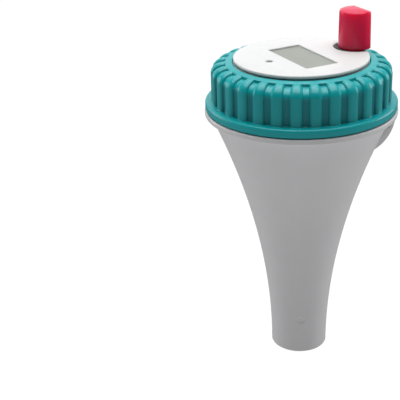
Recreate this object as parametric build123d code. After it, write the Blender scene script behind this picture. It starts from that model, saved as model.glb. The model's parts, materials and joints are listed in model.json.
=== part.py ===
from build123d import *
import math
import os

# Floating pool thermometer. Millimetres, +Z up along the float's axis.
# Origin: centre of the float's flat bottom. +Y: from the axis to the antenna post.

# ---- driving dimensions ----
FLOAT_R_BOTTOM = 16.8        # outer radius at the foot of the funnel
FLOAT_R_TOP = 51.3           # outer radius where the funnel meets the rim
FLOAT_WALL = 2.6
FLOAT_FLOOR = 3.0            # height of the inside floor
RIM_R = 54.7                 # rim flange that stands just proud of the ring nut
COVE_R = 3.0                 # blend from the funnel to the rim's underside
RIM_Z0 = 152.0
RIM_Z1 = 155.4
NECK_R = 46.2                # outside of the threaded neck, at the thread's root
NECK_BORE_R = 43.5
NECK_TOP = 173.0

RING_Z0 = 156.0
RING_FLANGE_R = 54.3
RING_FLANGE_H = 4.6
RING_R = 50.7                # over the ridges
RING_TOP = 182.0
SHOULDER_R = 42.4            # where the flat top turns down into the shoulder
SHOULDER_DROP = 6.0
GROOVE_DEPTH = 1.7
RIDGE_COUNT = 30
GROOVE_W = 4.2               # grooves are parallel channels
FIRST_RIDGE_ANGLE = 2.0
RING_INNER_R = 47.8
LIP_BORE_R = 38.3
LIP_Z0 = 178.6
LIP_RISE = 0.6               # the lip climbs this much from the shoulder to its bore
LIP_CHAMFER = 3.6

THREAD_PITCH = 6.0
THREAD_Z0 = 158.6
THREAD_TURNS = 1.5
THREAD_CREST_MALE = 47.4
THREAD_CREST_FEMALE = 46.6
THREAD_CREST_W = 1.3
THREAD_ROOT_W = 2.5

COVER_TOP = 184.8
COVER_R = 38.0
COVER_FLANGE_R = 43.6
COVER_Z0 = 176.2
COVER_INNER_R = 34.0
COVER_CEILING = 183.0
FLANGE_GAP = 0.4             # play between the ring's lip and the cover
BOSS_TOP = COVER_CEILING + 0.5
PILOT_TOP = 182.0            # end of the screws' pilot holes
WINDOW_L = 41.8
WINDOW_W = 20.0
WINDOW_AT = (1.4, 0.1)
WINDOW_DEPTH = 1.0
LENS_TOP = COVER_TOP - WINDOW_DEPTH
LENS_L = 45.0
LENS_W = 22.6
STATUS_Y = -20.3
STATUS_R = 1.9

POST_Y = 36.0                # centre of the antenna post's round side
POST_R = 9.8
POST_CHORD = 5.0             # flat outer face, from the round side's centre
POST_TOP = 206.2
POST_Z0 = 184.5              # the post's outer side hangs over the ring
POST_FOOT_INSET = 0.8
POST_DRAFT = 0.3
POST_WALL = 1.6
NOTCH_GAP = 2.6
NOTCH_FLOOR = 182.0
SEAL_TOP = 184.0
SEAL_BEAD_TOP = 184.5
COIL_Y = 31.0

HOUSING_Z0 = 150.0
HOUSING_R = 42.0
HOUSING_INNER_R = 38.5
HOUSING_FLANGE_R = 46.0
HOUSING_FLANGE_Z0 = 173.7
HOUSING_TOP = 176.0
FLOOR = 2.0
SEAL_GROOVE = 1.0            # depth of both seal grooves
RIM_SEAL_R = 45.1            # outside of the seal between the housing and the neck
LID_SEAL_R = 41.35           # outside of the seal between the housing and the cover
SCREW_RING_R = 35.5
COVER_SCREW_ANGLES = (60, 120, 240, 300)
COVER_SCREW_Z0 = 166.4

BOARD_TOP = 178.0
BOARD_T = 1.6
BOARD_UNDER = BOARD_TOP - BOARD_T
BOARD_R = 33.3
LCD_Z0 = 180.9
LCD_L = 44.8
LCD_W = 23.2
LCD_STEP = 1.4               # the lower glass runs out this far past the upper one

CELL_R = 7.25                # AA cell, 14.5 x 50.5
CELL_L = 50.5
CELL_BUTTON_H = 1.2
CELL_Z = 159.5
BAY_Y = 7.0
BAY_L = 55.0
BAY_W = 31.0
BAY_TOP = 167.5
BAY_WALL = 1.5
CELL_PITCH = 15.2
PLATE_T = 0.5                # contact plates at the ends of the bay
DOOR_T = 2.2
DOOR_TOP = HOUSING_Z0 - 0.8
WIRE_Y = BAY_Y + 9.0

LEAD_R = 1.6
LEAD_Y = -30.0
LEAD_BEND_R = 40.0
PLUG_Z0 = 172.4
PROBE_R = 3.2
PROBE_Z0 = 6.0
PROBE_TOP = 30.0
BALLAST_TOP = 46.0
BALLAST_R = 13.4
GUIDE_R = 6.0
GUIDE_BORE_R = 4.2
SWITCH_Y = -21.0
SLIDER_X = -10.0
BUTTON_X = 9.0
SWITCH_BOARD_Z0 = 156.4
SWITCH_BOARD_TOP = 157.6
SLIDER_TRAVEL = 4.0

LUG_ANGLE = 67.0
LUG_T = 4.0
LUG_TOP_OUT = (54.1, 153.0)  # outer edge: an arc through these three (radius, height) points
LUG_BULGE = (52.8, 138.0)
LUG_FOOT = (41.0, 125.2)
LUG_TOP_IN = (44.0, 153.0)
LUG_HOLE_R = 2.0
LUG_HOLE_AT = (50.1, 141.3)


# ---- helpers ----
def cyl(r, z0, z1, x=0.0, y=0.0):
    """Upright cylinder between two heights."""
    return Pos(x, y, (z0 + z1) / 2) * Cylinder(r, z1 - z0)


def tube(r_out, r_in, z0, z1, x=0.0, y=0.0):
    return cyl(r_out, z0, z1, x, y) - cyl(r_in, z0 - 1, z1 + 1, x, y)


def block(x0, x1, y0, y1, z0, z1):
    size = Box(x1 - x0, y1 - y0, z1 - z0)
    return Pos((x0 + x1) / 2, (y0 + y1) / 2, (z0 + z1) / 2) * size


def turned(*edges):
    """Solid of revolution about Z from edges drawn as (radius, height)."""
    profile = Plane.XZ * make_face(Wire(edges))
    return revolve(profile, Axis.Z)


def outline(*points):
    return [Line(a, b) for a, b in zip(points, points[1:])]


def around(angle, radius):
    a = math.radians(angle)
    return radius * math.cos(a), radius * math.sin(a)


BOARD_SCREWS_AT = (around(180, 29.0), around(0, 29.0), around(300, 27.0))
DOOR_SCREWS_AT = ((-33.0, BAY_Y), (33.0, BAY_Y))


def helical_thread(crest_r, root_r, z0, turns):
    """Trapezoid thread of the shared pitch, winding up from z0, crest at crest_r."""
    path = Helix(THREAD_PITCH, THREAD_PITCH * turns, root_r)
    half_root = THREAD_ROOT_W / 2
    half_crest = THREAD_CREST_W / 2
    rise = crest_r - root_r
    tangent = path % 0
    plane = Plane(origin=path @ 0, x_dir=(1, 0, 0), z_dir=tangent)
    corners = [(0, -half_root), (rise, -half_crest), (rise, half_crest), (0, half_root)]
    section = plane * make_face(Polyline(*corners, close=True))
    return Pos(0, 0, z0) * sweep(section, path=path, is_frenet=True)


# ---- float ----
def funnel(r_bottom, r_top, z0, z1):
    """Solid trumpet whose radius grows with the square of the height."""
    curve = Bezier((r_bottom, z0), (r_bottom, (z0 + z1) / 2), (r_top, z1))
    return turned(curve, *outline((r_top, z1), (0, z1), (0, z0), (r_bottom, z0)))


def tether_lug():
    """Gusset under the rim with a cord hole; its outer edge is a bulging arc."""
    edge = ThreePointArc(LUG_TOP_OUT, LUG_BULGE, LUG_FOOT)
    side = make_face(Wire([Line(LUG_TOP_IN, LUG_TOP_OUT), edge, Line(LUG_FOOT, LUG_TOP_IN)]))
    side -= Pos(*LUG_HOLE_AT) * Circle(LUG_HOLE_R)
    plate = extrude(Plane.XZ * side, LUG_T / 2, both=True)
    return Rot(0, 0, LUG_ANGLE) * plate


def rim_cove():
    """Ring that rounds the corner between the funnel's flare and the rim's underside."""
    lean = math.atan2(2 * (FLOAT_R_TOP - FLOAT_R_BOTTOM), RIM_Z0)
    centre_r = FLOAT_R_TOP + COVE_R * (1 - math.sin(lean)) / math.cos(lean)
    centre_z = RIM_Z0 - COVE_R
    low = (centre_r - COVE_R * math.cos(lean), centre_z + COVE_R * math.sin(lean))
    half = (math.pi / 2 + lean) / 2
    middle = (centre_r - COVE_R * math.cos(half), centre_z + COVE_R * math.sin(half))
    high = (centre_r, RIM_Z0)
    inside = low[0] - 1.0
    rest = outline(high, (centre_r, RIM_Z0 + 0.5), (inside, RIM_Z0 + 0.5), (inside, low[1]), low)
    return turned(ThreePointArc(low, middle, high), *rest)


def float_body():
    outer = funnel(FLOAT_R_BOTTOM, FLOAT_R_TOP, 0, RIM_Z0)
    foot_edge = outer.edges().filter_by(GeomType.CIRCLE).sort_by(Axis.Z)[0]
    outer = fillet(foot_edge, 0.8)
    rim = cyl(RIM_R, RIM_Z0, RIM_Z1)
    rim = fillet(rim.edges().filter_by(GeomType.CIRCLE), 1.0)
    neck = cyl(NECK_R, RIM_Z0, NECK_TOP)
    body = outer + rim + rim_cove() + neck + tether_lug()
    hollow = funnel(FLOAT_R_BOTTOM - FLOAT_WALL, FLOAT_R_TOP - FLOAT_WALL - 0.2, FLOAT_FLOOR, RIM_Z0)
    body -= hollow
    body -= cyl(NECK_BORE_R, 148.0, NECK_TOP + 1)
    body += helical_thread(THREAD_CREST_MALE, NECK_R - 0.2, THREAD_Z0, THREAD_TURNS)
    return body


def ballast_weight():
    weight = tube(BALLAST_R, GUIDE_R + 0.1, FLOAT_FLOOR, BALLAST_TOP)
    return chamfer(weight.edges().filter_by(GeomType.CIRCLE), 0.6)


def probe_guide():
    """Plastic sleeve with a flared mouth that leads the probe into the tip."""
    mouth = Pos(0, 0, BALLAST_TOP + 4.0) * Cone(GUIDE_R, 2 * GUIDE_R, 8.0)
    outer = cyl(GUIDE_R, FLOAT_FLOOR, BALLAST_TOP) + mouth
    bore = cyl(GUIDE_BORE_R, FLOAT_FLOOR + 1.5, BALLAST_TOP + 1.0)
    bore += Pos(0, 0, BALLAST_TOP + 4.4) * Cone(GUIDE_BORE_R, 2 * GUIDE_R - 1.0, 8.0)
    return outer - bore


# ---- ring nut ----
def shoulder_arc(inset):
    """Quarter ellipse from the flat top down to the wall, inset for the grooves."""
    centre = (SHOULDER_R, RING_TOP - SHOULDER_DROP)
    a = RING_R - SHOULDER_R - inset
    b = SHOULDER_DROP - inset
    return EllipticalCenterArc(centre, a, b, start_angle=0, arc_size=90)


def ring_groove():
    """One channel: up the wall, over the shoulder and in to a small end wall."""
    foot = RING_Z0 + RING_FLANGE_H
    arc = shoulder_arc(GROOVE_DEPTH)
    start, end = arc @ 0, arc @ 1
    far = RING_R + 6
    rest = outline((end.X, end.Y), (end.X, RING_TOP + 4), (far, RING_TOP + 4),
                   (far, foot), (start.X, foot), (start.X, start.Y))
    profile = Plane.XZ * make_face(Wire([arc, *rest]))
    return extrude(profile, GROOVE_W / 2, both=True)


def ring_nut():
    foot = RING_Z0 + RING_FLANGE_H
    arc = shoulder_arc(0)
    start = arc @ 0
    body = outline((SHOULDER_R, RING_TOP), (LIP_BORE_R, RING_TOP + LIP_RISE), (LIP_BORE_R, LIP_Z0),
                   (RING_INNER_R - LIP_CHAMFER, LIP_Z0), (RING_INNER_R, LIP_Z0 - LIP_CHAMFER),
                   (RING_INNER_R, RING_Z0),
                   (RING_FLANGE_R, RING_Z0), (RING_FLANGE_R, foot), (RING_R, foot),
                   (RING_R, start.Y))
    ring = turned(arc, *body)
    rim = ring.edges().filter_by(GeomType.CIRCLE).filter_by(lambda e: abs(e.radius - RING_FLANGE_R) < 0.01)
    ring = fillet(rim, 1.2)
    step = 360 / RIDGE_COUNT
    groove = ring_groove()
    for i in range(RIDGE_COUNT):
        ring -= Rot(0, 0, FIRST_RIDGE_ANGLE + step * (i + 0.5)) * groove
    thread = helical_thread(THREAD_CREST_FEMALE, RING_INNER_R + 0.2, THREAD_Z0 + THREAD_PITCH / 2, 1.25)
    return ring + thread


# ---- top cover and what sits under it ----
def post_outline(grow=0.0, chord=POST_CHORD):
    """Plan of the antenna post: a circle with its outer side cut flat."""
    disc = Pos(0, POST_Y) * Circle(POST_R + grow)
    side = 3 * POST_R
    return disc & Pos(0, POST_Y + chord + grow - side / 2) * Rectangle(side, side)


def notch_outline(grow=0.0):
    return Pos(0, POST_Y) * Circle(POST_R + NOTCH_GAP + grow)


def top_cover():
    disc = cyl(COVER_R, COVER_Z0, COVER_TOP)
    disc = fillet(disc.edges().filter_by(GeomType.CIRCLE).sort_by(Axis.Z)[-1], 0.8)
    cover = disc + cyl(COVER_FLANGE_R, COVER_Z0, LIP_Z0 - FLANGE_GAP)
    cover -= cyl(COVER_INNER_R, COVER_Z0 - 1, COVER_CEILING)
    for angle in COVER_SCREW_ANGLES:
        x, y = around(angle, SCREW_RING_R)
        cover += cyl(2.4, COVER_Z0, BOSS_TOP, x, y)
        cover -= cyl(1.25, COVER_Z0 - 1, PILOT_TOP, x, y)
    shelf = extrude(notch_outline(1.6) & Circle(COVER_R - 1), COVER_CEILING - NOTCH_FLOOR + 2.6)
    cover += Pos(0, 0, NOTCH_FLOOR - 1.6) * shelf
    cover -= Pos(0, 0, NOTCH_FLOOR) * extrude(notch_outline(), 10)
    cover -= cyl(3.4, 170, NOTCH_FLOOR + 1, 0, COIL_Y)
    window = Rectangle(WINDOW_L, WINDOW_W)
    window = fillet(window.vertices(), 0.5)
    cover -= Pos(*WINDOW_AT, COVER_CEILING - 1) * extrude(window, 5)
    cover -= at_window(centred(LENS_L + 0.2, LENS_W + 0.2, COVER_CEILING - 1, LENS_TOP))
    cover -= cyl(STATUS_R, COVER_CEILING - 1, COVER_TOP + 1, 0, STATUS_Y)
    return cover


def at_window(shape):
    return Pos(*WINDOW_AT, 0) * shape


def centred(length, width, z0, z1):
    """Block centred on the axis between two heights."""
    return block(-length / 2, length / 2, -width / 2, width / 2, z0, z1)


def window_lens():
    return at_window(centred(LENS_L, LENS_W, LENS_TOP - 1.2, LENS_TOP))


def lcd_panel():
    glass = centred(LCD_L, LCD_W, LCD_Z0, LCD_Z0 + 1.6)
    ledge = block(-LCD_L, LCD_L, -LCD_W, LCD_STEP - LCD_W / 2, LCD_Z0 + 0.8, LCD_Z0 + 2)
    return at_window(glass - ledge)


def lcd_frame():
    """Holder that clips the display to the board round its edge."""
    frame = centred(LCD_L + 4.4, LCD_W + 4.8, BOARD_TOP, LCD_Z0 + 1.5)
    frame -= centred(LCD_L + 0.2, LCD_W + 0.2, LCD_Z0, LCD_Z0 + 3)
    frame -= centred(LCD_L - 3.6, LCD_W + 0.2, BOARD_TOP - 1, LCD_Z0 + 0.1)
    return at_window(frame)


def zebra_strips():
    strip = centred(LCD_L - 4.0, 2.4, BOARD_TOP, LCD_Z0)
    return group([at_window(Pos(0, y, 0) * strip) for y in (-10.0, 10.0)])


def main_board():
    board = cyl(BOARD_R, BOARD_UNDER, BOARD_TOP)
    for angle in COVER_SCREW_ANGLES:
        x, y = around(angle, SCREW_RING_R)
        board -= cyl(4.0, 170, 180, x, y)
    for x, y in BOARD_SCREWS_AT:
        board -= cyl(1.3, 170, 180, x, y)
    return board


def screw(x, y, z_head, head_h, shank_r, length, head_r):
    """Pan-head screw whose head is at the bottom; a cross is cut in it."""
    head = cyl(head_r, 0, head_h)
    head = chamfer(head.edges().sort_by(Axis.Z)[0], 0.4)
    slot = centred(1.2 * head_r, 0.5, -1, 0.8)
    whole = head + cyl(shank_r, head_h, head_h + length) - slot - Rot(0, 0, 90) * slot
    return Pos(x, y, z_head) * whole


def group(parts):
    """One node from separate solids."""
    return Compound(children=[solid for part in parts for solid in part.solids()])


def board_bosses():
    return [cyl(2.6, BOARD_TOP, BOSS_TOP, x, y) - cyl(1.2, BOARD_TOP - 1, PILOT_TOP, x, y)
            for x, y in BOARD_SCREWS_AT]


def board_screws():
    z = BOARD_UNDER - 1.4
    return group([screw(x, y, z, 1.4, 1.15, 4.6, 2.3) for x, y in BOARD_SCREWS_AT])


def cover_screws():
    places = [around(a, SCREW_RING_R) for a in COVER_SCREW_ANGLES]
    return group([screw(x, y, COVER_SCREW_Z0, 2.0, 1.2, 13.0, 2.4) for x, y in places])


def microcontroller():
    """Black resin blob over the bonded chip, under the board."""
    slab = block(-12, 12, 2, 26, BOARD_UNDER - 1.8, BOARD_UNDER)
    blob = Pos(0, 14, BOARD_UNDER + 24.0) * Sphere(25.8)
    return blob & slab


def rf_module():
    card = block(-14, -2, -24.5, -17.5, BOARD_TOP, BOARD_TOP + 1.0)
    can = block(-13, -6, -23.5, -18.5, BOARD_TOP + 1.0, BOARD_TOP + 2.6)
    return card + can


def antenna_coil():
    """Wire helix that stands on the board and fills the post."""
    wire_r = 0.5
    path = Pos(0, COIL_Y, 186.0) * Helix(2.4, 14.4, 2.0)
    start = path @ 0
    section = Plane(origin=start, z_dir=path % 0) * Circle(wire_r)
    coil = sweep(section, path=path, is_frenet=True)
    leg = cyl(wire_r, BOARD_TOP, start.Z + 0.3, start.X, start.Y)
    return coil + leg


def antenna_cover():
    base = Plane.XY.offset(POST_Z0) * post_outline(0.0)
    top = Plane.XY.offset(POST_TOP) * post_outline(-POST_DRAFT)
    post = loft([base.faces()[0], top.faces()[0]])
    rim = post.faces().sort_by(Axis.Z)[-1].edges()
    post = fillet(rim, 1.0)
    foot = extrude(post_outline(-POST_FOOT_INSET) & Circle(COVER_R - 0.4), POST_Z0 - NOTCH_FLOOR)
    post += Pos(0, 0, NOTCH_FLOOR) * foot
    hollow_z0 = POST_Z0 + 2.2
    hollow = extrude(post_outline(-POST_WALL), POST_TOP - POST_WALL - hollow_z0)
    post -= Pos(0, 0, hollow_z0) * hollow
    post -= cyl(3.2, NOTCH_FLOOR - 1, hollow_z0 + 1, 0, COIL_Y)
    return post


def antenna_seal():
    """Rubber gasket that fills the notch round the post's foot, with a raised bead."""
    plan = (notch_outline(-0.05) & Circle(COVER_R - 0.3)) - post_outline(-POST_FOOT_INSET)
    pad = Pos(0, 0, NOTCH_FLOOR) * extrude(plan, SEAL_TOP - NOTCH_FLOOR)
    ring = (notch_outline(-0.9) & Circle(COVER_R - 1.2)) - (notch_outline(-1.5) & Circle(COVER_R - 1.2))
    bead = Pos(0, 0, SEAL_TOP - 0.1) * extrude(ring, SEAL_BEAD_TOP - SEAL_TOP + 0.1)
    return pad + bead


def status_lens():
    pipe = cyl(STATUS_R, 181.2, COVER_TOP - 0.5, 0, STATUS_Y)
    collar = cyl(STATUS_R + 1.0, 181.2, COVER_CEILING, 0, STATUS_Y)
    return pipe + collar


def status_led():
    can = cyl(1.5, BOARD_TOP, 179.5, 0, STATUS_Y)
    return can + Pos(0, STATUS_Y, 179.5) * (Sphere(1.5) & Pos(0, 0, 1) * Box(4, 4, 2))


# ---- housing ----
def housing_shell():
    shell = cyl(HOUSING_R, HOUSING_Z0, HOUSING_TOP)
    shell = fillet(shell.edges().filter_by(GeomType.CIRCLE).sort_by(Axis.Z)[0], 1.5)
    shell += cyl(HOUSING_FLANGE_R, HOUSING_FLANGE_Z0, HOUSING_TOP)
    shell -= cyl(HOUSING_INNER_R, HOUSING_Z0 + FLOOR, HOUSING_TOP + 1)
    shell -= tube(RIM_SEAL_R + 0.1, RIM_SEAL_R - 1.2, HOUSING_FLANGE_Z0 - 1, HOUSING_FLANGE_Z0 + SEAL_GROOVE)
    shell -= tube(LID_SEAL_R + 0.05, LID_SEAL_R - 1.75, HOUSING_TOP - SEAL_GROOVE, HOUSING_TOP + 1)
    return shell


def bay_box(grow, z0, z1):
    return block(-BAY_L / 2 - grow, BAY_L / 2 + grow,
                 BAY_Y - BAY_W / 2 - grow, BAY_Y + BAY_W / 2 + grow, z0, z1)


def module_housing():
    housing = housing_shell()
    housing += bay_box(BAY_WALL, HOUSING_Z0 + 1, BAY_TOP + BAY_WALL)
    for angle in COVER_SCREW_ANGLES:
        x, y = around(angle, SCREW_RING_R)
        housing += cyl(3.4, HOUSING_Z0 + 1, HOUSING_TOP, x, y)
    for x, y in DOOR_SCREWS_AT:
        housing += cyl(3.0, HOUSING_Z0 + 1, HOUSING_Z0 + 12, x, y)
    housing -= bay_box(0, HOUSING_Z0 - 1, BAY_TOP)
    for angle in COVER_SCREW_ANGLES:
        x, y = around(angle, SCREW_RING_R)
        housing -= cyl(1.4, HOUSING_Z0 - 1, HOUSING_TOP + 1, x, y)
        housing -= cyl(2.6, HOUSING_Z0 - 1, COVER_SCREW_Z0 + 2.0, x, y)
    for x, y in DOOR_SCREWS_AT:
        housing -= cyl(1.25, HOUSING_Z0 - 1, HOUSING_Z0 + 9, x, y)
    housing -= cyl(3.0, HOUSING_Z0 - 1, HOUSING_Z0 + 3, 0, LEAD_Y)
    housing -= cyl(2.1, HOUSING_Z0 - 1, HOUSING_Z0 + 3, BUTTON_X, SWITCH_Y)
    slot_x0 = SLIDER_X - 1.8
    slot_x1 = SLIDER_X + SLIDER_TRAVEL + 1.8
    housing -= block(slot_x0, slot_x1, SWITCH_Y - 1.4, SWITCH_Y + 1.4, HOUSING_Z0 - 1, HOUSING_Z0 + 3)
    for side in (-1, 1):
        wire_x = side * (BAY_L / 2 - 1.0)
        housing -= cyl(0.9, BAY_TOP - 1, BAY_TOP + 3, wire_x, WIRE_Y)
    return housing


def flat_seal(r_out, r_in, z0, z1):
    ring = tube(r_out, r_in, z0, z1)
    return fillet(ring.edges().filter_by(GeomType.CIRCLE), 0.25)


def rim_seal():
    return flat_seal(RIM_SEAL_R, RIM_SEAL_R - 1.1, NECK_TOP + 0.1, HOUSING_FLANGE_Z0 + SEAL_GROOVE)


def housing_seal():
    return flat_seal(LID_SEAL_R, LID_SEAL_R - 1.7, HOUSING_TOP - SEAL_GROOVE, COVER_Z0)


# ---- battery bay ----
def cell(side):
    """AA cell lying along X; its button points to +X for side -1."""
    y = BAY_Y + side * CELL_PITCH / 2
    can = Cylinder(CELL_R, CELL_L - CELL_BUTTON_H)
    can = fillet(can.edges().filter_by(GeomType.CIRCLE), 0.6)
    button = Pos(0, 0, CELL_L / 2) * Cylinder(2.6, CELL_BUTTON_H)
    turn = 90 if side < 0 else -90
    shift = 1.15 if side < 0 else -1.15
    return Pos(shift, y, CELL_Z) * Rot(0, turn, 0) * (can + button)


def contact_spring(side):
    """Conical spring that presses on a cell's flat end."""
    x_wall = side * (BAY_L / 2 - PLATE_T)
    y = BAY_Y + side * CELL_PITCH / 2
    coil = Helix(0.9, 2.7, 3.6)
    section = Plane(origin=coil @ 0, z_dir=coil % 0) * Circle(0.35)
    wire = sweep(section, path=coil, is_frenet=True)
    turn = -90 if side > 0 else 90
    return Pos(x_wall, y, CELL_Z) * Rot(0, turn, 0) * Pos(0, 0, 0.4) * wire


def contact_springs():
    return group([contact_spring(-1), contact_spring(1)])


def contact_plates():
    """The plates at the two ends of the bay."""
    plate = block(-PLATE_T / 2, PLATE_T / 2, BAY_Y - 14.5, BAY_Y + 14.5, CELL_Z - 5.5, CELL_Z + 6.5)
    x = (BAY_L - PLATE_T) / 2
    return group([Pos(-x, 0, 0) * plate, Pos(x, 0, 0) * plate])


def battery_wires():
    x = BAY_L / 2 - 1.0
    return group([cyl(0.7, CELL_Z + 6.6, BOARD_UNDER, side * x, WIRE_Y) for side in (-1, 1)])


def battery_door():
    door = Box(BAY_L + 5, BAY_W + 5, DOOR_T) + Box(76.0, 10.0, DOOR_T)
    door = fillet(door.edges().filter_by(Axis.Z), 3.0)
    door = Pos(0, BAY_Y, DOOR_TOP - DOOR_T / 2) * door
    lip = bay_box(-0.4, DOOR_TOP - 0.1, DOOR_TOP + 2.0) - bay_box(-1.8, DOOR_TOP - 1, DOOR_TOP + 3)
    door += lip
    for x, y in DOOR_SCREWS_AT:
        door -= cyl(1.5, DOOR_TOP - 5, DOOR_TOP + 5, x, y)
    return door


def battery_door_seal():
    return bay_box(2.3, DOOR_TOP, HOUSING_Z0) - bay_box(-0.2, DOOR_TOP - 1, HOUSING_Z0 + 1)


def battery_door_screws():
    z = DOOR_TOP - DOOR_T - 1.8
    return group([screw(x, y, z, 1.8, 1.2, 10.0, 2.8) for x, y in DOOR_SCREWS_AT])


# ---- sensor ----
def sensor_lead():
    """Lead from its plug on the board, through the gland, down the axis to the probe."""
    points = [(0, LEAD_Y, PLUG_Z0), (0, LEAD_Y, 122.0), (0, 0, 94.0), (0, 0, PROBE_TOP)]
    path = FilletPolyline(*points, radius=[LEAD_BEND_R, LEAD_BEND_R])
    section = Plane(origin=points[0], z_dir=(0, 0, -1)) * Circle(LEAD_R)
    return sweep(section, path=path)


def sensor_probe():
    probe = cyl(PROBE_R, PROBE_Z0, PROBE_TOP)
    return fillet(probe.edges().filter_by(GeomType.CIRCLE).sort_by(Axis.Z)[0], 2.0)


def lead_gland():
    """Rubber bush that seals the lead where it leaves the housing."""
    gland = cyl(3.0, HOUSING_Z0, HOUSING_Z0 + FLOOR, 0, LEAD_Y)
    gland += cyl(4.2, HOUSING_Z0 + FLOOR, HOUSING_Z0 + FLOOR + 1.5, 0, LEAD_Y)
    gland += cyl(4.2, HOUSING_Z0 - 1.5, HOUSING_Z0, 0, LEAD_Y)
    gland += Pos(0, LEAD_Y, HOUSING_Z0 - 5.5) * Cone(2.4, 3.2, 8.0)
    return gland - cyl(LEAD_R, 130, 160, 0, LEAD_Y)


def lead_plug():
    return block(-4.0, 4.0, LEAD_Y - 2.4, LEAD_Y + 2.4, PLUG_Z0, BOARD_UNDER)


# ---- switches ----
def switch_board():
    return block(-16.0, 15.0, SWITCH_Y - 5.0, SWITCH_Y + 5.0, SWITCH_BOARD_Z0, SWITCH_BOARD_TOP)


def slide_switch_case():
    x0 = SLIDER_X - 3.6
    x1 = SLIDER_X + SLIDER_TRAVEL + 3.6
    case = block(x0, x1, SWITCH_Y - 2.6, SWITCH_Y + 2.6, HOUSING_Z0 + FLOOR, SWITCH_BOARD_Z0)
    room = block(x0 + 1.0, x1 - 1.0, SWITCH_Y - 1.6, SWITCH_Y + 1.6, HOUSING_Z0, SWITCH_BOARD_Z0 - 1.0)
    return case - room


def channel_slider():
    """Three-position knob that picks the radio channel."""
    plate = block(SLIDER_X - 2.3, SLIDER_X + 2.3, SWITCH_Y - 1.4, SWITCH_Y + 1.4, 152.6, 155.0)
    knob = block(SLIDER_X - 1.4, SLIDER_X + 1.4, SWITCH_Y - 1.1, SWITCH_Y + 1.1, 149.2, 152.8)
    return plate + knob


def button_switch():
    case = block(BUTTON_X - 3.2, BUTTON_X + 3.2, SWITCH_Y - 3.2, SWITCH_Y + 3.2, 153.8, SWITCH_BOARD_Z0)
    return case - cyl(2.7, 152, 155.5, BUTTON_X, SWITCH_Y)


def reset_button():
    stem = cyl(1.9, 149.4, 153.0, BUTTON_X, SWITCH_Y)
    head = cyl(2.4, 152.1, 154.4, BUTTON_X, SWITCH_Y)
    return stem + head


def switch_wires():
    wires = [cyl(0.5, SWITCH_BOARD_TOP, BOARD_UNDER, -15.0 + 1.6 * i, SWITCH_Y) for i in range(5)]
    return group(wires)


NODES = {
    "float_body": float_body,
    "ballast_weight": ballast_weight,
    "probe_guide": probe_guide,
    "ring_nut": ring_nut,
    "top_cover": lambda: top_cover() + board_bosses(),
    "window_lens": window_lens,
    "lcd_panel": lcd_panel,
    "lcd_frame": lcd_frame,
    "zebra_strips": zebra_strips,
    "main_board": main_board,
    "board_screws": board_screws,
    "microcontroller": microcontroller,
    "rf_module": rf_module,
    "antenna_coil": antenna_coil,
    "antenna_cover": antenna_cover,
    "antenna_seal": antenna_seal,
    "status_lens": status_lens,
    "status_led": status_led,
    "module_housing": module_housing,
    "housing_seal": housing_seal,
    "rim_seal": rim_seal,
    "cover_screws": cover_screws,
    "battery_1": lambda: cell(-1),
    "battery_2": lambda: cell(1),
    "contact_springs": contact_springs,
    "contact_plates": contact_plates,
    "battery_wires": battery_wires,
    "battery_door": battery_door,
    "battery_door_seal": battery_door_seal,
    "battery_door_screws": battery_door_screws,
    "sensor_lead": sensor_lead,
    "sensor_probe": sensor_probe,
    "lead_gland": lead_gland,
    "lead_plug": lead_plug,
    "switch_board": switch_board,
    "slide_switch_case": slide_switch_case,
    "channel_slider": channel_slider,
    "button_switch": button_switch,
    "reset_button": reset_button,
    "switch_wires": switch_wires,
}


os.makedirs("parts", exist_ok=True)
for name, make in NODES.items():
    export_step(make(), f"parts/{name}.step")
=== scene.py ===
import json
import math

import bpy
import bmesh
from mathutils import Matrix, Vector


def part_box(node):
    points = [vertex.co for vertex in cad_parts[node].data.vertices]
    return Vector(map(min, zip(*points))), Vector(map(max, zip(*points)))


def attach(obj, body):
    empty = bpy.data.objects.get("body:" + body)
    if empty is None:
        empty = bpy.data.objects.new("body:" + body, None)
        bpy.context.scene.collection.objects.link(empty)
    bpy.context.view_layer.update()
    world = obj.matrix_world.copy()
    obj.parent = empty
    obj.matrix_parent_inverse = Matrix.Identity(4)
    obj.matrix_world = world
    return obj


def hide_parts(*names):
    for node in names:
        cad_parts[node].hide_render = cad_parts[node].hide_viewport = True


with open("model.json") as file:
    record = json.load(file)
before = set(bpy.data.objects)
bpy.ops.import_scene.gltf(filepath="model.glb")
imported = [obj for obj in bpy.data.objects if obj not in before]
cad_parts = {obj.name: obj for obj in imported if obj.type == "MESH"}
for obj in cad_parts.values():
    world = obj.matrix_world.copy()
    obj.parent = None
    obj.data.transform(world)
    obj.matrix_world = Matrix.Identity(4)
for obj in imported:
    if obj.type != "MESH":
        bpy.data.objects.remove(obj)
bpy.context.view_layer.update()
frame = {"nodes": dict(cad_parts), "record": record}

# Looks of the floating pool thermometer. Metres; the frame's origin is the centre of the float's
# flat bottom, +Z is up and +Y points to the antenna post.

MM = 0.001

# ---- places and sizes, from the frame ----
FLOAT_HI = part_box("float_body")[1]
RING_LO, RING_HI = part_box("ring_nut")
COVER_LO, COVER_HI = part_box("top_cover")
POST_LO, POST_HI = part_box("antenna_cover")
LENS_LO, LENS_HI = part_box("window_lens")
STATUS_LO, STATUS_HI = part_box("status_lens")

RIM_R = FLOAT_HI[0]
NECK_TOP = FLOAT_HI[2]
RING_Z0 = RING_LO[2]
LIP_TOP = RING_HI[2]
LIP_RISE = 0.6 * MM
RING_TOP = LIP_TOP - LIP_RISE
RING_FLANGE_R = RING_HI[0]
COVER_TOP = COVER_HI[2]
POST_TOP = POST_HI[2]
POST_R = POST_HI[0]

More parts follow.
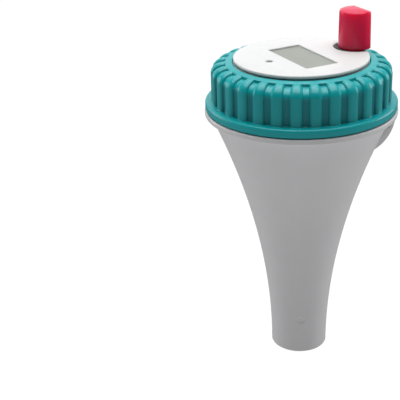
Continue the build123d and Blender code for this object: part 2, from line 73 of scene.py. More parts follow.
# float
FOOT_R = 16.8 * MM
FLARE_R = 51.3 * MM
WALL = 2.6 * MM
FLOOR_T = 3.0 * MM
RIM_Z0 = RING_Z0 - 4.0 * MM
RIM_Z1 = RING_Z0 - 0.6 * MM
COVE_R = 3.0 * MM
NECK_R = 46.2 * MM
NECK_BORE_R = 43.5 * MM
DIMPLE_Z = 23.0 * MM
DIMPLE_R = 2.2 * MM
DIMPLE_DEPTH = 0.35 * MM
DIMPLE_ANGLE = math.radians(-27.0)

# tether lug, as (radius, height) in the plane at its angle
LUG_ANGLE = math.radians(67.0)
LUG_T = 4.0 * MM
LUG_EDGE = ((54.1 * MM, 153.0 * MM), (52.8 * MM, 138.0 * MM), (41.0 * MM, 125.2 * MM))
LUG_INSIDE = ((39.5 * MM, 125.2 * MM), (48.0 * MM, 153.0 * MM))
LUG_HOLE_AT = (50.1 * MM, 141.3 * MM)
LUG_HOLE_R = 2.0 * MM

# ring nut
FLANGE_H = 4.6 * MM
WALL_R = 50.7 * MM
SHOULDER_R = 42.4 * MM
SHOULDER_DROP = 6.0 * MM
GROOVE_DEPTH = 1.7 * MM
RIDGES = 30
GROOVE_W = 3.7 * MM
RIDGE_ROUND = 2.9 * MM
FLOOR_ROUND = 0.5 * MM
FIRST_RIDGE = math.radians(2.0)
RIDGE_FLAT = 0.15       # share of a ridge's half width that stays flat
CROWN_LIMIT = 0.8       # share of a ridge's half width that rounding may take
CROWN_DROP = 0.85       # share of the groove's depth reached by the rounding
RING_BORE_R = 47.8 * MM
LIP_R = 38.2 * MM
LIP_Z0 = RING_TOP - 3.4 * MM
LIP_CHAMFER = 3.6 * MM
THREAD_PITCH = 6.0 * MM
THREAD_ROOT_W = 2.5 * MM
THREAD_CREST_W = 1.3 * MM
NECK_THREAD = (NECK_R - 0.2 * MM, 47.4 * MM, 158.6 * MM, 1.5)           # root, crest, start height, turns
RING_THREAD = (RING_BORE_R + 0.2 * MM, 46.6 * MM, 161.6 * MM, 1.25)

# cover and post
COVER_R = 38.0 * MM
PLATE_Z0 = COVER_TOP - 1.8 * MM
COVER_EDGE = 0.7 * MM
WINDOW = (41.8 * MM, 20.0 * MM)
WINDOW_CORNER = 0.6 * MM
WINDOW_AT = ((LENS_LO[0] + LENS_HI[0]) / 2, (LENS_LO[1] + LENS_HI[1]) / 2)
STATUS_R = 1.9 * MM
NOTCH_GAP = 2.6 * MM
POST_Y = POST_LO[1] + POST_R
POST_CHORD = POST_HI[1] - POST_Y
POST_Z0 = COVER_TOP - 0.3 * MM
POST_FOOT_INSET = 0.8 * MM
POST_DRAFT = 0.3 * MM
POST_EDGE = 1.5 * MM
POST_DOME = 0.3 * MM


# ---- mesh helpers ----
def new_object(name, mesh):
    obj = bpy.data.objects.new(name, mesh)
    bpy.context.scene.collection.objects.link(obj)
    return obj


def mesh_object(name, verts, faces):
    mesh = bpy.data.meshes.new(name)
    mesh.from_pydata([tuple(v) for v in verts], [], faces)
    mesh.validate()
    mesh.update()
    mesh.shade_smooth()
    return new_object(name, mesh)


def closed_loft(name, loops, wrap_loops=False):
    """Joins closed loops of points, all the same length, into a closed surface."""
    count = len(loops[0])
    verts = [p for loop in loops for p in loop]
    faces = []
    last = len(loops) if wrap_loops else len(loops) - 1
    for i in range(last):
        a = i * count
        b = ((i + 1) % len(loops)) * count
        for j in range(count):
            k = (j + 1) % count
            faces.append((a + j, a + k, b + k, b + j))
    if not wrap_loops:
        faces.append(tuple(range(count - 1, -1, -1)))
        faces.append(tuple(range((len(loops) - 1) * count, len(loops) * count)))
    obj = mesh_object(name, verts, faces)
    recalc_normals(obj)
    return obj


def recalc_normals(obj):
    bm = bmesh.new()
    bm.from_mesh(obj.data)
    bmesh.ops.recalc_face_normals(bm, faces=bm.faces)
    bm.to_mesh(obj.data)
    bm.free()


def sharp_by_angle(obj, degrees=35.0):
    obj.data.set_sharp_from_angle(angle=math.radians(degrees))


def lathe(name, profile, segments=256):
    """Closed ring from a closed (radius, height) profile turned about Z."""
    loops = []
    for r, z in profile:
        loops.append([(r * math.cos(a), r * math.sin(a), z) for a in turn(segments)])
    return closed_loft(name, loops, wrap_loops=True)


def turn(count):
    """Angles of a full turn in equal steps."""
    return [2 * math.pi * i / count for i in range(count)]


def arc(cx, cz, r, a0, a1, count=6):
    """Points (radius, height) along an arc, angles in degrees."""
    points = []
    for i in range(count + 1):
        a = math.radians(a0 + (a1 - a0) * i / count)
        points.append((cx + r * math.cos(a), cz + r * math.sin(a)))
    return points


def rounded(points, r, steps=6):
    """Closed outline with every corner rounded to radius r."""
    out = []
    n = len(points)
    for i, p in enumerate(points):
        here = Vector(p)
        back = (Vector(points[i - 1]) - here).normalized()
        ahead = (Vector(points[(i + 1) % n]) - here).normalized()
        half = back.angle(ahead) / 2
        reach = r / math.tan(half)
        centre = here + (back + ahead).normalized() * (r / math.sin(half))
        p0 = here + back * reach - centre
        p1 = here + ahead * reach - centre
        sweep = p0.angle_signed(p1)
        for k in range(steps + 1):
            turned = p0.copy()
            turned.rotate(Matrix.Rotation(-sweep * k / steps, 2))
            out.append(tuple(centre + turned))
    return out


def plate_from_outlines(name, outlines, z0, z1, edge):
    """Flat plate with rounded rims; the first outline is its edge, the rest are its holes."""
    curve = bpy.data.curves.new(name + "_outline", "CURVE")
    curve.dimensions = "2D"
    curve.fill_mode = "BOTH"
    curve.extrude = (z1 - z0) / 2 - edge
    curve.bevel_depth = edge
    curve.bevel_resolution = 3
    curve.offset = -edge
    for points in outlines:
        spline = curve.splines.new("POLY")
        spline.points.add(len(points) - 1)
        for slot, (x, y) in zip(spline.points, points):
            slot.co = (x, y, 0, 1)
        spline.use_cyclic_u = True
    holder = new_object(name + "_holder", curve)
    mesh = bpy.data.meshes.new_from_object(holder)
    bpy.data.objects.remove(holder)
    bm = bmesh.new()
    bm.from_mesh(mesh)
    bmesh.ops.remove_doubles(bm, verts=bm.verts, dist=1e-6)
    bmesh.ops.translate(bm, verts=bm.verts, vec=(0, 0, (z0 + z1) / 2))
    bmesh.ops.recalc_face_normals(bm, faces=bm.faces)
    bm.to_mesh(mesh)
    bm.free()
    mesh.name = name
    mesh.shade_smooth()
    obj = new_object(name, mesh)
    sharp_by_angle(obj, 40)
    return obj


def helix_strip(name, root_r, crest_r, z0, turns, per_turn=96):
    """Closed trapezoid thread that winds up from z0 and tapers away at both ends."""
    loops = []
    count = int(per_turn * turns)
    for i in range(count + 1):
        a = 2 * math.pi * turns * i / count
        fade = min(1.0, i / 6, (count - i) / 6)
        crest = root_r + (crest_r - root_r) * max(fade, 0.05)
        z = z0 + THREAD_PITCH * turns * i / count
        c, s = math.cos(a), math.sin(a)
        section = [(root_r, -THREAD_ROOT_W / 2), (crest, -THREAD_CREST_W / 2)]
        section += [(crest, THREAD_CREST_W / 2), (root_r, THREAD_ROOT_W / 2)]
        loops.append([(r * c, r * s, z + dz) for r, dz in section])
    obj = closed_loft(name, loops)
    sharp_by_angle(obj, 30)
    return obj


# ---- float ----
def flare(t):
    """Radius of the trumpet at a share t of its height."""
    return FOOT_R + (FLARE_R - FOOT_R) * t * t


def flare_heights(low, high):
    """Heights of the trumpet's rows, closer together round the dimple."""
    coarse = [RIM_Z0 * i / 56 for i in range(1, 56)]
    reach = 2 * DIMPLE_R
    fine = [DIMPLE_Z + reach * i / 14 for i in range(-14, 15)]
    rows = fine + [z for z in coarse if abs(z - DIMPLE_Z) > reach + 0.5 * MM]
    return sorted(z for z in rows if low < z < high)


def press_dimple(obj):
    """Shallow round mark near the foot, pressed into the outer wall."""
    centre = Vector((flare(0) * math.cos(DIMPLE_ANGLE), flare(0) * math.sin(DIMPLE_ANGLE), DIMPLE_Z))
    for vertex in obj.data.vertices:
        away = (vertex.co - centre).length
        out = math.hypot(vertex.co.x, vertex.co.y)
        if away < 1.8 * DIMPLE_R and out > FOOT_R - 0.5 * MM:
            share = min(1.0, max(0.0, (1.25 * DIMPLE_R - away) / (0.5 * DIMPLE_R)))
            depth = DIMPLE_DEPTH * share * share * (3 - 2 * share)
            vertex.co.x *= (out - depth) / out
            vertex.co.y *= (out - depth) / out


def float_shell():
    """Trumpet, rim flange and neck as one closed turned wall."""
    edge = 0.8 * MM
    lean = math.atan2(2 * (FLARE_R - FOOT_R), RIM_Z0)
    cove_r = FLARE_R + COVE_R * (1 - math.sin(lean)) / math.cos(lean)
    rim_e = 1.1 * MM
    lip = 0.4 * MM
    profile = [(0.4 * MM, 0.0)]
    profile += arc(flare(0) - edge, edge, edge, -90, 0, 5)
    profile += [(flare(z / RIM_Z0), z) for z in flare_heights(2 * edge, RIM_Z0 - COVE_R)]
    profile += arc(cove_r, RIM_Z0 - COVE_R, COVE_R, 180 - math.degrees(lean), 90, 8)
    profile += arc(RIM_R - rim_e, RIM_Z0 + rim_e, rim_e, -90, 0, 5)
    profile += arc(RIM_R - rim_e, RIM_Z1 - rim_e, rim_e, 0, 90, 5)
    profile += arc(NECK_R + 0.6 * MM, RIM_Z1 + 0.6 * MM, 0.6 * MM, 270, 180, 4)
    profile += arc(NECK_R - lip, NECK_TOP - lip, lip, 0, 90, 3)
    profile += arc(NECK_BORE_R + lip, NECK_TOP - lip, lip, 90, 180, 3)
    profile.append((NECK_BORE_R, RIM_Z0 - 4 * MM))
    for i in range(40, 0, -1):
        t = i / 41
        height = FLOOR_T + (RIM_Z0 - FLOOR_T) * t
        inner = FOOT_R - WALL + (FLARE_R - FOOT_R - 0.2 * MM) * t * t
        if inner < NECK_BORE_R and height < RIM_Z0 - 5 * MM:
            profile.append((inner, height))
    profile += [(FOOT_R - WALL, FLOOR_T), (0.4 * MM, FLOOR_T)]
    obj = lathe("float_shell", profile, 240)
    press_dimple(obj)
    sharp_by_angle(obj, 50)
    return obj


def arc_through(a, b, c, count):
    """Points from a to c on the circle through a, b and c."""
    ax, ay, bx, by, cx, cy = *a, *b, *c
    d = 2 * (ax * (by - cy) + bx * (cy - ay) + cx * (ay - by))
    a2, b2, c2 = ax * ax + ay * ay, bx * bx + by * by, cx * cx + cy * cy
    ox = (a2 * (by - cy) + b2 * (cy - ay) + c2 * (ay - by)) / d
    oy = (a2 * (cx - bx) + b2 * (ax - cx) + c2 * (bx - ax)) / d
    r = math.hypot(ax - ox, ay - oy)
    start = math.atan2(ay - oy, ax - ox)
    end = math.atan2(cy - oy, cx - ox)
    return [(ox + r * math.cos(q), oy + r * math.sin(q)) for q in span(start, end, count)]


def tether_lug():
    """Gusset under the rim with its cord hole, edges rounded."""
    outline = arc_through(*LUG_EDGE, 24) + list(LUG_INSIDE)
    x, y = LUG_HOLE_AT
    obj = plate_from_outlines("tether_lug", [outline, circle_points(LUG_HOLE_R, 28, x, y)],
                              -LUG_T / 2, LUG_T / 2, 0.5 * MM)
    obj.data.transform(Matrix.Rotation(LUG_ANGLE, 4, "Z") @ Matrix.Rotation(math.pi / 2, 4, "X"))
    recalc_normals(obj)
    return obj


# ---- ring nut ----
def ridge_section(radius):
    """(angle, groove share) points from one ridge's middle to the next, at a radius."""
    pitch = 2 * math.pi / RIDGES
    half = GROOVE_W / 2 / radius
    root = FLOOR_ROUND / radius
    edge = pitch / 2 - half
    crown = min(RIDGE_ROUND / radius, CROWN_LIMIT * edge)
    points = [(0.0, 0.0), (edge * RIDGE_FLAT, 0.0)]
    points += [(edge - crown + crown * math.sin(q), CROWN_DROP * (1 - math.cos(q))) for q in quarter(9)]
    points += [(edge + root * (1 - math.cos(q)), 0.88 + 0.1 * math.sin(q)) for q in quarter(3)]
    points += [(pitch / 2, 1.0)]
    mirror = [(pitch - a, w) for a, w in reversed(points[1:-1])]
    return points + mirror


def quarter(count):
    return [math.pi / 2 * i / count for i in range(count + 1)]


def shoulder(q, inset=0.0):
    """Point on the shoulder's quarter ellipse; q runs from the wall up to the flat top."""
    a = WALL_R - SHOULDER_R - inset
    b = SHOULDER_DROP - inset
    return SHOULDER_R + a * math.cos(q), RING_TOP - SHOULDER_DROP + b * math.sin(q)


def ring_profile():
    """Matching (ridge, groove floor) points round the ring's closed section."""
    foot = RING_Z0 + FLANGE_H
    e = 1.5 * MM
    pairs = []

    def both(points):
        pairs.extend((p, p) for p in points)

    both([(RING_BORE_R, RING_Z0 + 0.5 * MM), (RING_BORE_R + 0.5 * MM, RING_Z0)])
    both(arc(RING_FLANGE_R - 0.6 * MM, RING_Z0 + 0.6 * MM, 0.6 * MM, -90, 0, 4))
    both(arc(RING_FLANGE_R - e, foot - e, e, 0, 90, 7))
    both([(WALL_R + 0.5 * MM, foot)])
    fillet = 0.4 * MM
    for q in quarter(4):
        rise = foot + fillet * (1 - math.cos(q))
        ridge = WALL_R + fillet * (1 - math.sin(q))
        pairs.append(((ridge, rise), (ridge - GROOVE_DEPTH, rise)))
    top_of_wall = RING_TOP - SHOULDER_DROP
    for i in range(1, 7):
        z = foot + fillet + (top_of_wall - foot - fillet) * i / 7
        pairs.append(((WALL_R, z), (WALL_R - GROOVE_DEPTH, z)))
    steps = 20
    for i in range(steps):
        q = math.pi / 2 * 0.97 * i / steps
        pairs.append((shoulder(q), shoulder(q, GROOVE_DEPTH)))
    end_r = SHOULDER_R + 0.2 * MM
    floor_z = RING_TOP - GROOVE_DEPTH
    for out, share in ((0.4, 0.02), (0.15, 0.14), (0.05, 0.36), (0.0, 0.64), (-0.08, 0.86), (-0.2, 0.97)):
        r = end_r + out * MM
        pairs.append(((r, RING_TOP), (r, floor_z + share * GROOVE_DEPTH)))
    both([(end_r - 0.5 * MM, RING_TOP + 0.06 * MM)])
    both([(LIP_R + 1.6 * MM, LIP_TOP - 0.06 * MM)])
    both(arc(LIP_R + 1.0 * MM, LIP_TOP - 1.0 * MM, 1.0 * MM, 85, 180, 6))
    both([(LIP_R, LIP_Z0), (RING_BORE_R - LIP_CHAMFER, LIP_Z0), (RING_BORE_R, LIP_Z0 - LIP_CHAMFER)])
    return pairs


def ring_shell():
    """The ring nut: ridges and grooves are one closed section swept round the axis."""
    pitch = 2 * math.pi / RIDGES
    loops = []
    for ridge, floor in ring_profile():
        section = ridge_section(max(ridge[0], SHOULDER_R))
        loop = []
        for k in range(RIDGES):
            for a, share in section:
                angle = FIRST_RIDGE + pitch * k + a
                r = ridge[0] + (floor[0] - ridge[0]) * share
                z = ridge[1] + (floor[1] - ridge[1]) * share
                loop.append((r * math.cos(angle), r * math.sin(angle), z))
        loops.append(loop)
    obj = closed_loft("ring_shell", loops, wrap_loops=True)
    sharp_by_angle(obj, 50)
    return obj


# ---- cover, window and post ----
def circle_points(r, count, x=0.0, y=0.0):
    return [(x + r * math.cos(a), y + r * math.sin(a)) for a in turn(count)]


def notched_disc(r, gap, corner=0.9 * MM):
    """Disc outline with a round notch cut in at the post, its two mouths rounded."""
    notch_r = POST_R + gap
    y_cross = (r * r - notch_r * notch_r + POST_Y * POST_Y) / (2 * POST_Y)
    x_cross = math.sqrt(r * r - y_cross * y_cross)
    clear = corner / r
    a0 = math.atan2(y_cross, -x_cross) + clear
    a1 = math.atan2(y_cross, x_cross) + 2 * math.pi - clear
    outer = [(r * math.cos(a), r * math.sin(a)) for a in span(a0, a1, 180)]
    clear = corner / notch_r
    b0 = math.atan2(y_cross - POST_Y, x_cross) - clear
    b1 = math.atan2(y_cross - POST_Y, -x_cross) - 2 * math.pi + clear
    if b1 < b0 - 2 * math.pi:
        b1 += 2 * math.pi
    notch = [(notch_r * math.cos(b), POST_Y + notch_r * math.sin(b)) for b in span(b0, b1, 48)]
    return outer + notch


def span(a, b, count):
    return [a + (b - a) * i / count for i in range(count + 1)]


def rounded_box(w, h, r, x, y):
    corners = [(x - w / 2, y - h / 2), (x + w / 2, y - h / 2), (x + w / 2, y + h / 2), (x - w / 2, y + h / 2)]
    return rounded(corners, r)


def top_cover():
    """White cover: plate with window, lamp hole and notch, on its skirt and flange."""
    window = rounded_box(*WINDOW, WINDOW_CORNER, *WINDOW_AT)
    lamp = circle_points(STATUS_R, 40, y=(STATUS_LO[1] + STATUS_HI[1]) / 2)
    plate = plate_from_outlines("cover_plate", [notched_disc(COVER_R, NOTCH_GAP), window, lamp],
                                PLATE_Z0, COVER_TOP, COVER_EDGE)
    flange_r = COVER_HI[0]
    flange_top = LIP_Z0 - 0.4 * MM
    inner = COVER_R - 4 * MM
    base = COVER_LO[2]
    top = PLATE_Z0 - 1 * MM
    section = [(inner, base), (flange_r, base), (flange_r, flange_top)]
    section += [(COVER_R, flange_top), (COVER_R, top), (inner, top)]
    skirt = lathe("cover_skirt", section)
    sharp_by_angle(skirt)
    return plate, skirt


def post_loop(shrink, z, c=1.5 * MM):
    """Plan of the antenna post at one height: round side, flat outer face, soft corners."""
    r = POST_R - shrink
    chord = POST_CHORD - shrink
    corner_x = math.sqrt((r - c) ** 2 - (chord - c) ** 2)
    corner_y = chord - c
    a_round = math.atan2(corner_y, corner_x)
    corner = [(c * math.cos(a), c * math.sin(a)) for a in span(math.pi / 2, a_round, 10)]
    points = [(x + corner_x, y + corner_y) for x, y in corner]
    points += [(r * math.cos(a), r * math.sin(a)) for a in span(a_round, -math.pi - a_round, 76)][1:-1]
    points += [(-corner_x - x, y + corner_y) for x, y in reversed(corner)]
    return [(x, y + POST_Y, z) for x, y in points]


def post_foot(z):
    """Plan of the post's foot, which keeps inside the cover's rim."""
    reach = COVER_R - 0.4 * MM
    points = []
    for x, y, height in post_loop(POST_FOOT_INSET, z):
        scale = min(1.0, reach / math.hypot(x, y))
        points.append((x * scale, y * scale, height))
    return points


def antenna_post():
    """Red antenna cover: drafted D column on a narrower foot, with a softly rounded top."""
    height = POST_TOP - POST_Z0
    edge = POST_EDGE
    loops = [post_foot(POST_LO[2]), post_foot(POST_Z0)]
    loops += [post_loop(0.3 * MM, POST_Z0), post_loop(0.05 * MM, POST_Z0 + 0.2 * MM)]
    for i in range(1, 13):
        t = i / 13
        loops.append(post_loop(POST_DRAFT * t, POST_Z0 + (height - edge) * t))
    for q in quarter(7):
        dome = POST_DOME * q / (math.pi / 2)
        rise = POST_TOP - edge + edge * math.sin(q) - dome
        loops.append(post_loop(POST_DRAFT + edge * (1 - math.cos(q)), rise))
    for i in range(1, 6):
        shrink = POST_DRAFT + edge + (POST_CHORD - edge - POST_DRAFT - 2.2 * MM) * i / 5
        loops.append(post_loop(shrink, POST_TOP - POST_DOME * (1 - i / 5)))
    obj = closed_loft("antenna_post", loops)
    sharp_by_angle(obj, 50)
    return obj


# ---- materials ----
SINK_DEPTH = 0.00003
GRAIN_DEPTH = 0.00001
# painted shade: a darker teal that stands in for the shade in the ring's grooves
GROOVE_SHADE_TEAL = (0.0, 0.19, 0.215, 1)
JACKET_SPLIT_X = -12.0 * MM


def material(name, colour, rough, metallic=0.0, coat=0.0, specular=0.5):
    """Principled material and its tree, ready for detail nodes."""
    mat = bpy.data.materials.new(name)
    mat.use_nodes = True
    shader = mat.node_tree.nodes["Principled BSDF"]
    shader.inputs["Base Color"].default_value = (*colour, 1)
    shader.inputs["Roughness"].default_value = rough
    shader.inputs["Metallic"].default_value = metallic
    shader.inputs["Coat Weight"].default_value = coat
    shader.inputs["Coat Roughness"].default_value = 0.1
    shader.inputs["Specular IOR Level"].default_value = specular
    return mat, mat.node_tree, shader


def object_coords(tree, scale=(1, 1, 1)):
    coords = tree.nodes.new("ShaderNodeTexCoord")
    mapping = tree.nodes.new("ShaderNodeMapping")
    mapping.inputs["Scale"].default_value = scale
    tree.links.new(coords.outputs["Object"], mapping.inputs["Vector"])
    return mapping.outputs["Vector"]


def noise(tree, vector, scale, detail=4.0, rough=0.55):
    node = tree.nodes.new("ShaderNodeTexNoise")
    node.inputs["Scale"].default_value = scale
    node.inputs["Detail"].default_value = detail
    node.inputs["Roughness"].default_value = rough
    tree.links.new(vector, node.inputs["Vector"])
    return node.outputs["Fac"]


def ramp(tree, value, stops):
    node = tree.nodes.new("ShaderNodeValToRGB")
    elements = node.color_ramp.elements
    while len(elements) < len(stops):
        elements.new(0.5)
    for element, (pos, colour) in zip(elements, stops):
        element.position = pos
        element.color = (*colour, 1) if len(colour) == 3 else colour
    tree.links.new(value, node.inputs["Fac"])
    return node.outputs["Color"]


def remap(tree, value, low, high, from_low=0.3, from_high=0.7):
    node = tree.nodes.new("ShaderNodeMapRange")
    node.inputs["From Min"].default_value = from_low
    node.inputs["From Max"].default_value = from_high
    node.inputs["To Min"].default_value = low
    node.inputs["To Max"].default_value = high
    tree.links.new(value, node.inputs["Value"])
    return node.outputs["Result"]


def bump(tree, height, strength, distance, shader, below=None):
    node = tree.nodes.new("ShaderNodeBump")
    node.inputs["Strength"].default_value = strength
    node.inputs["Distance"].default_value = distance
    tree.links.new(height, node.inputs["Height"])
    if below is not None:
        tree.links.new(below, node.inputs["Normal"])
    tree.links.new(node.outputs["Normal"], shader.inputs["Normal"])
    return node.outputs["Normal"]


def shade_of(colour, factor):
    return tuple(min(1.0, c * factor) for c in colour)


def moulded(name, colour, rough, grain=5000.0, mottle=0.05, specular=0.5):
    """Moulded plastic: faint flow mottling, uneven gloss, fine skin texture."""
    mat, tree, shader = material(name, colour, rough, specular=specular)
    vector = object_coords(tree)
    clouds = noise(tree, vector, 55.0, 3.0)
    tint = ramp(tree, clouds, [(0.3, shade_of(colour, 1 - mottle)), (0.7, shade_of(colour, 1 + mottle))])
    tree.links.new(tint, shader.inputs["Base Color"])
    gloss = noise(tree, vector, 320.0, 5.0, 0.6)
    tree.links.new(remap(tree, gloss, rough * 0.88, min(1.0, rough * 1.15)), shader.inputs["Roughness"])
    sink = noise(tree, vector, 120.0, 2.0)
    wide = bump(tree, sink, 0.15, SINK_DEPTH, shader)
    fine = noise(tree, vector, grain, 2.0)
    bump(tree, fine, 0.15, GRAIN_DEPTH, shader, below=wide)
    return mat


def paint_groove_shade(mat):
    """Paints shade between the grip ridges on the ring's upright wall: a darker teal in the grooves stands in
    for the shade that falls there.
    """
    tree = mat.node_tree
    shader = tree.nodes["Principled BSDF"]
    plain = shader.inputs["Base Color"].links[0].from_socket
    split = tree.nodes.new("ShaderNodeSeparateXYZ")
    tree.links.new(object_coords(tree), split.inputs["Vector"])
    flat = tree.nodes.new("ShaderNodeCombineXYZ")
    for axis in "XY":
        tree.links.new(split.outputs[axis], flat.inputs[axis])
    radius = tree.nodes.new("ShaderNodeVectorMath")
    radius.operation = "LENGTH"
    tree.links.new(flat.outputs["Vector"], radius.inputs[0])
    # painted shade mask: full in the groove floors below the shoulder, fading out on the ridge crowns and
    # above the shoulder
    depth = remap(tree, radius.outputs["Value"], 1.0, 0.0, WALL_R - 1.8 * MM, WALL_R + 0.2 * MM)
    shoulder_z = RING_TOP - SHOULDER_DROP
    height = remap(tree, split.outputs["Z"], 1.0, 0.0, shoulder_z - 1.5 * MM, shoulder_z + 1.5 * MM)
    both = tree.nodes.new("ShaderNodeMath")
    both.operation = "MULTIPLY"
    tree.links.new(depth, both.inputs[0])
    tree.links.new(height, both.inputs[1])
    mix = tree.nodes.new("ShaderNodeMix")
    mix.data_type = "RGBA"
    tree.links.new(both.outputs[0], mix.inputs["Factor"])
    tree.links.new(plain, mix.inputs["A"])
    # the painted shade colour, mixed in by that mask
    mix.inputs["B"].default_value = GROOVE_SHADE_TEAL
    tree.links.new(mix.outputs["Result"], shader.inputs["Base Color"])


def translucent(mat):
    """Let light, mostly red, spread inside a moulded material."""
    shader = mat.node_tree.nodes["Principled BSDF"]
    shader.inputs["Subsurface Weight"].default_value = 0.8
    shader.inputs["Subsurface Radius"].default_value = (1.0, 0.1, 0.15)
    shader.inputs["Subsurface Scale"].default_value = 14.0 * MM


def metal(name, colour, rough, brush=(4000.0, 60.0, 60.0)):
    mat, tree, shader = material(name, colour, rough, metallic=1.0)
    vector = object_coords(tree, brush)
    lines = noise(tree, vector, 1.0, 3.0)
    tree.links.new(remap(tree, lines, rough * 0.7, rough * 1.4), shader.inputs["Roughness"])
    tint = ramp(tree, lines, [(0.3, shade_of(colour, 0.85)), (0.7, shade_of(colour, 1.1))])
    tree.links.new(tint, shader.inputs["Base Color"])
    bump(tree, lines, 0.2, 0.00002, shader)
    return mat


def lcd_material():
    """Blank reflective display: grey-green with faint clouds and a fine speckle."""
    mat, tree, shader = material("lcd_grey", (0.27, 0.29, 0.26), 0.4, specular=0.3)
    vector = object_coords(tree)
    speckle = noise(tree, vector, 5200.0, 3.0)
    clouds = noise(tree, vector, 38.0, 2.0)
    mix = tree.nodes.new("ShaderNodeMath")
    mix.operation = "MULTIPLY_ADD"
    mix.inputs[1].default_value = 0.35
    tree.links.new(speckle, mix.inputs[0])
    tree.links.new(clouds, mix.inputs[2])
    tint = ramp(tree, mix.outputs[0], [(0.35, (0.25, 0.27, 0.24)), (0.95, (0.29, 0.31, 0.28))])
    tree.links.new(tint, shader.inputs["Base Color"])
    bump(tree, speckle, 0.12, 0.00001, shader)
    return mat


def board_material():
    mat, tree, shader = material("board_green", (0.02, 0.14, 0.06), 0.35, coat=0.4)
    vector = object_coords(tree)
    cells = tree.nodes.new("ShaderNodeTexVoronoi")
    cells.inputs["Scale"].default_value = 420.0
    cells.distance = "MANHATTAN"
    cells.feature = "F1"
    tree.links.new(vector, cells.inputs["Vector"])
    tint = ramp(tree, cells.outputs["Distance"], [(0.28, (0.03, 0.2, 0.08)), (0.36, (0.015, 0.12, 0.05))])
    tree.links.new(tint, shader.inputs["Base Color"])
    bump(tree, cells.outputs["Distance"], 0.2, 0.00004, shader)
    return mat


def jacket_material():
    """Battery jacket: a dark band and a lighter one, split along the cell."""
    mat, tree, shader = material("cell_jacket", (0.05, 0.05, 0.06), 0.3, metallic=0.4, coat=0.5)
    vector = object_coords(tree)
    split = tree.nodes.new("ShaderNodeSeparateXYZ")
    tree.links.new(vector, split.inputs["Vector"])
    band = remap(tree, split.outputs["X"], 0.0, 1.0, JACKET_SPLIT_X, JACKET_SPLIT_X + 0.3 * MM)
    tint = ramp(tree, band, [(0.0, (0.35, 0.22, 0.08)), (1.0, (0.02, 0.02, 0.025))])
    tree.links.new(tint, shader.inputs["Base Color"])
    bump(tree, noise(tree, vector, 900.0), 0.1, 0.00003, shader)
    return mat


def make_materials():
    made = {
        "float_grey": moulded("float_grey", (0.59, 0.588, 0.60), 0.42, mottle=0.015),
        "ring_teal": moulded("ring_teal", (0.0, 0.335, 0.355), 0.33, mottle=0.02, specular=0.4),
        "cover_white": moulded("cover_white", (0.64, 0.645, 0.645), 0.4, mottle=0.01, specular=0.3),
        "post_red": moulded("post_red", (0.62, 0.009, 0.068), 0.2, mottle=0.01, specular=0.35),
        "inner_white": moulded("inner_white", (0.7, 0.7, 0.68), 0.45),
        "holder_black": moulded("holder_black", (0.02, 0.02, 0.02), 0.45),
        "housing_grey": moulded("housing_grey", (0.27, 0.28, 0.29), 0.45),
        "chip_black": moulded("chip_black", (0.01, 0.01, 0.01), 0.25, grain=1500.0),
        "rubber_grey": moulded("rubber_grey", (0.07, 0.09, 0.085), 0.65, specular=0.3),
        "seal_black": moulded("seal_black", (0.012, 0.012, 0.012), 0.6, grain=4000.0),
        "wire_black": moulded("wire_black", (0.015, 0.015, 0.015), 0.5, grain=3000.0),
        "button_red": moulded("button_red", (0.35, 0.01, 0.01), 0.4),
        "lens_smoked": moulded("lens_smoked", (0.10, 0.105, 0.105), 0.15),
        "led_clear": moulded("led_clear", (0.5, 0.06, 0.05), 0.12),
        "ballast_iron": metal("ballast_iron", (0.12, 0.12, 0.125), 0.6, brush=(700.0, 700.0, 700.0)),
        "screw_steel": metal("screw_steel", (0.55, 0.55, 0.56), 0.3),
        "spring_steel": metal("spring_steel", (0.62, 0.6, 0.56), 0.28),
        "probe_steel": metal("probe_steel", (0.58, 0.58, 0.6), 0.25, brush=(60.0, 60.0, 4000.0)),
        "board_green": board_material(),
        "cell_jacket": jacket_material(),
        "lcd_glass": lcd_material(),
    }
    # paints shade into the ring's grooves
    paint_groove_shade(made["ring_teal"])
    translucent(made["post_red"])
    made["window_clear"] = made["lcd_glass"]
    return made


def paint(obj, mat):
    if not obj.data.materials:
        obj.data.materials.append(mat)
    for i in range(len(obj.material_slots)):
        obj.material_slots[i].material = mat


def stand_for(piece, node, body, slot, mats):
    paint(piece, mats[slot])
    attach(piece, body)
    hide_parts(node)


# ---- stage ----
CAMERA_AZIMUTH = math.radians(65.0)
CAMERA_PITCH = math.radians(24.8)
CAMERA_ROLL = math.radians(-2.18)
CAMERA_DISTANCE = 568.0 * MM
AIM_RIGHT = 57.33 * MM
AIM_UP = 54.54 * MM
LENS_MM = 89.74
WORLD_FILL = 0.09
FLOOR_GLOW = 0.76


def set_camera():
    """Looks down on the float, which stands right of the middle of the frame."""
    ahead = Vector((0, math.cos(CAMERA_PITCH), -math.sin(CAMERA_PITCH)))
    right = Vector((1, 0, 0))
    up = Vector((0, math.sin(CAMERA_PITCH), math.cos(CAMERA_PITCH)))
    c, s = math.cos(CAMERA_ROLL), math.sin(CAMERA_ROLL)
    right, up = c * right + s * up, -s * right + c * up
    place = -(AIM_RIGHT * right + AIM_UP * up + CAMERA_DISTANCE * ahead)
    turned = Matrix.Rotation(CAMERA_AZIMUTH, 4, "Z")
    axes = Matrix((right, up, -ahead)).transposed().to_4x4()
    world = turned @ Matrix.Translation(place) @ axes
    lens = bpy.data.cameras.new("camera")
    lens.lens = LENS_MM
    lens.sensor_width = 36.0
    lens.clip_start = 0.01
    lens.clip_end = 20.0
    camera = bpy.data.objects.new("camera", lens)
    camera.matrix_world = Matrix.Translation((0, 0, RING_Z0)) @ world
    bpy.context.scene.collection.objects.link(camera)
    bpy.context.scene.camera = camera


def area_light(name, place, aim, size, power):
    lamp = bpy.data.lights.new(name, "AREA")
    lamp.shape = "DISK"
    lamp.size = size
    lamp.energy = power
    obj = bpy.data.objects.new(name, lamp)
    obj.location = place
    obj.rotation_euler = (Vector(aim) - Vector(place)).to_track_quat("-Z", "Y").to_euler()
    bpy.context.scene.collection.objects.link(obj)


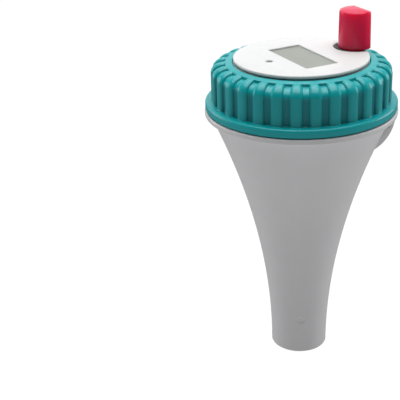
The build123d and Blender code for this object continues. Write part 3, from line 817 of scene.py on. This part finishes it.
def from_camera(side, back, up):
    """Point right of, behind and above the object, as the camera sees it."""
    flat = Matrix.Rotation(CAMERA_AZIMUTH, 3, "Z") @ Vector((side, back, 0))
    return flat.x, flat.y, up


def white_for_camera(tree, surface, brightness, share):
    """Mixes in plain white light that only camera rays see."""
    path = tree.nodes.new("ShaderNodeLightPath")
    scaled = tree.nodes.new("ShaderNodeMath")
    scaled.operation = "MULTIPLY"
    scaled.inputs[1].default_value = share
    glow = tree.nodes.new("ShaderNodeBackground" if surface.type == "BACKGROUND" else "ShaderNodeEmission")
    glow.inputs["Strength"].default_value = brightness
    glow.inputs["Color"].default_value = (1, 1, 1, 1)
    mix = tree.nodes.new("ShaderNodeMixShader")
    end = next(n for n in tree.nodes if n.type in ("OUTPUT_WORLD", "OUTPUT_MATERIAL"))
    tree.links.new(path.outputs["Is Camera Ray"], scaled.inputs[0])
    tree.links.new(scaled.outputs[0], mix.inputs["Fac"])
    tree.links.new(surface.outputs[0], mix.inputs[1])
    tree.links.new(glow.outputs[0], mix.inputs[2])
    tree.links.new(mix.outputs[0], end.inputs["Surface"])


def set_world():
    world = bpy.data.worlds.new("studio")
    world.use_nodes = True
    sky = world.node_tree.nodes["Background"]
    sky.inputs["Color"].default_value = (1, 1, 1, 1)
    sky.inputs["Strength"].default_value = WORLD_FILL
    white_for_camera(world.node_tree, sky, 1.0, 1.0)
    bpy.context.scene.world = world


def set_floor():
    half = 4.0
    floor = mesh_object("floor", [(-half, -half, 0), (half, -half, 0), (half, half, 0), (-half, half, 0)],
                        [(0, 1, 2, 3)])
    mat, tree, shader = material("floor_white", (0.12, 0.12, 0.12), 0.8, specular=0.1)
    shader.inputs["Emission Color"].default_value = (1, 1, 1, 1)
    path = tree.nodes.new("ShaderNodeLightPath")
    glow = remap(tree, path.outputs["Is Glossy Ray"], FLOOR_GLOW, 0.0, 0.0, 1.0)
    tree.links.new(glow, shader.inputs["Emission Strength"])
    clouds = noise(tree, object_coords(tree), 3.0)
    tint = ramp(tree, clouds, [(0.3, (0.11, 0.11, 0.11)), (0.7, (0.13, 0.13, 0.13))])
    tree.links.new(tint, shader.inputs["Base Color"])
    white_for_camera(tree, shader, 1.06, 0.85)
    floor.data.materials.append(mat)


def set_stage():
    bpy.context.scene.view_settings.view_transform = "Standard"
    bpy.context.scene.view_settings.look = "None"
    aim = (0, 0, 120 * MM)
    area_light("top_softbox", from_camera(0.0, 0.2, 1.35), aim, 1.5, 23.5)
    area_light("left_softbox", from_camera(-1.1, 0.6, 0.35), aim, 0.9, 5.5)
    area_light("right_softbox", from_camera(1.2, 0.4, 0.4), aim, 0.9, 7.0)
    area_light("back_softbox", from_camera(0.0, 1.7, 0.75), aim, 2.2, 10.0)
    set_world()
    set_floor()


# ---- build ----
set_camera()
set_stage()
MATS = make_materials()

slot_of = {part["node"]: part["material_slot"] for part in frame["record"]["subparts"]}
for node, obj in frame["nodes"].items():
    paint(obj, MATS[slot_of[node]])

for piece in (float_shell(), tether_lug(), helix_strip("neck_thread", *NECK_THREAD)):
    stand_for(piece, "float_body", "float", "float_grey", MATS)

for piece in (ring_shell(), helix_strip("ring_thread", *RING_THREAD)):
    stand_for(piece, "ring_nut", "ring", "ring_teal", MATS)

for piece in top_cover():
    stand_for(piece, "top_cover", "module", "cover_white", MATS)

stand_for(antenna_post(), "antenna_cover", "module", "post_red", MATS)
